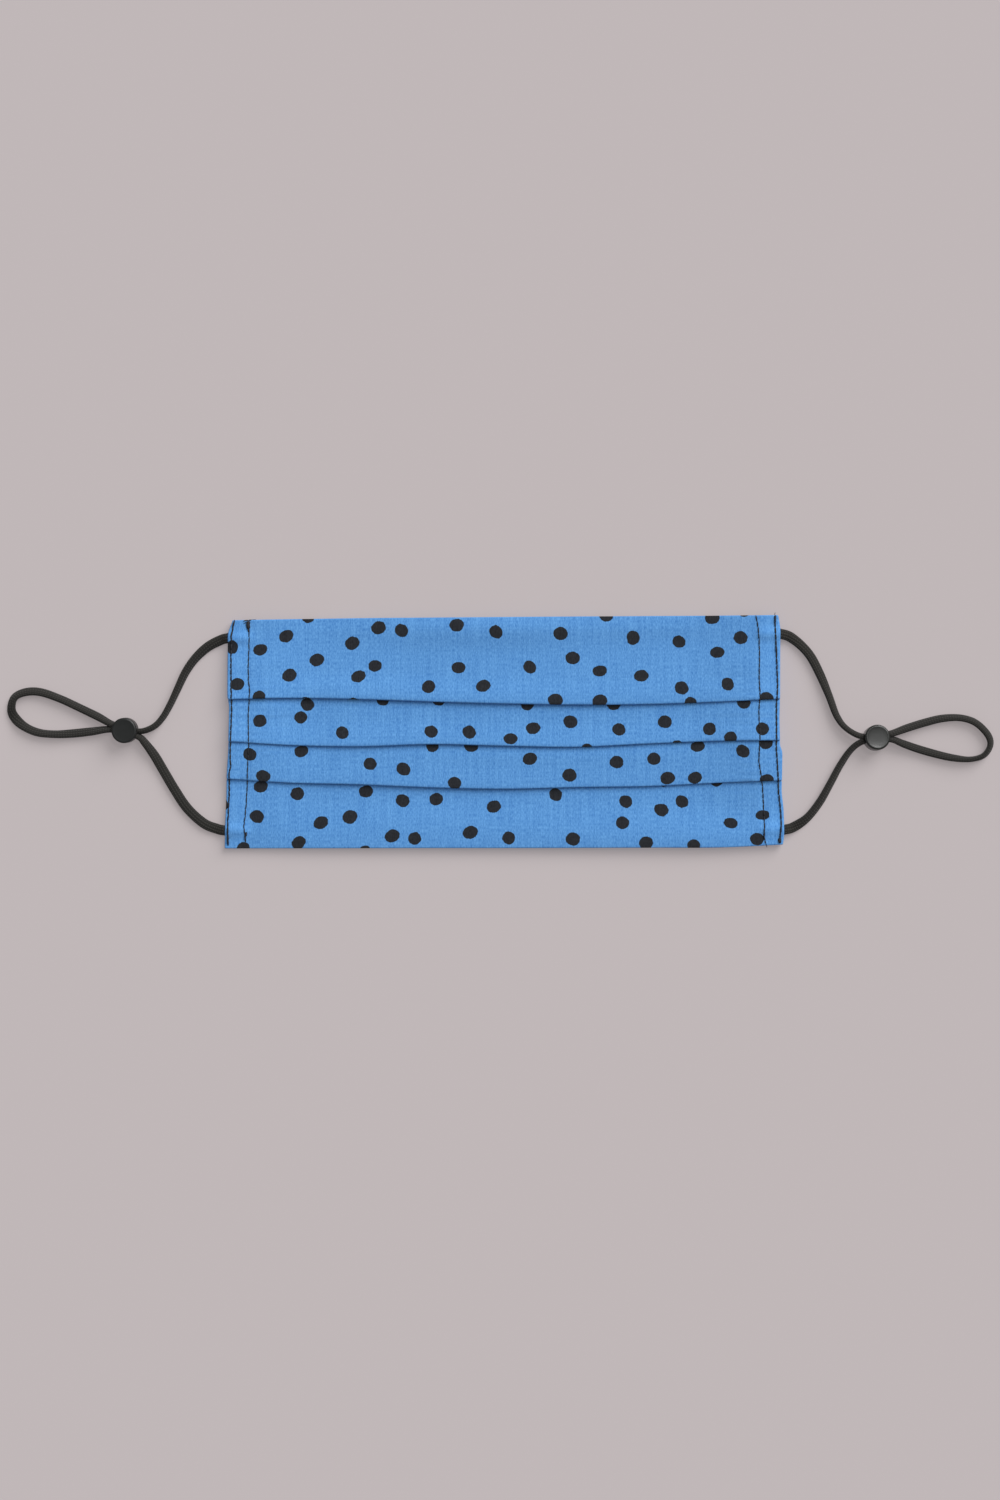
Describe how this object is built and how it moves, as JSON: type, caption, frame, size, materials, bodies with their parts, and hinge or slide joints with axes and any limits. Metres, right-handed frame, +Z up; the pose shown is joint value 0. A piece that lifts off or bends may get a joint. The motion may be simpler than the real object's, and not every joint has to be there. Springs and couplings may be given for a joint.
{
  "type": "cloth face mask",
  "caption": "Pleated cotton face mask lying flat, with turned-under side hems and soft elastic ear loops drawn through cord locks.",
  "frame": {"origin": "middle of the cloth panel, on the surface the mask lies on", "axes": "+X along the mask's long side, +Y towards its top edge, +Z up, out of the mask's front"},
  "size_m": [0.3599, 0.085, 0.0067],
  "materials": {
    "panel_cotton": "woven blue cotton with irregular black polka dots",
    "hem_cotton_left": "woven blue cotton with irregular black polka dots",
    "hem_cotton_right": "woven blue cotton with irregular black polka dots",
    "elastic_left": "soft knitted elastic, charcoal",
    "elastic_right": "soft knitted elastic, charcoal",
    "lock_plastic_left": "satin black plastic",
    "lock_plastic_right": "satin black plastic"
  },
  "bodies": {
    "root": {"pleated_panel": "panel_cotton", "side_hem_left": "hem_cotton_left", "side_hem_right": "hem_cotton_right", "ear_loop_left": "elastic_left", "ear_loop_right": "elastic_right", "cord_lock_left": "lock_plastic_left", "cord_lock_right": "lock_plastic_right"}
  },
  "joints": []
}
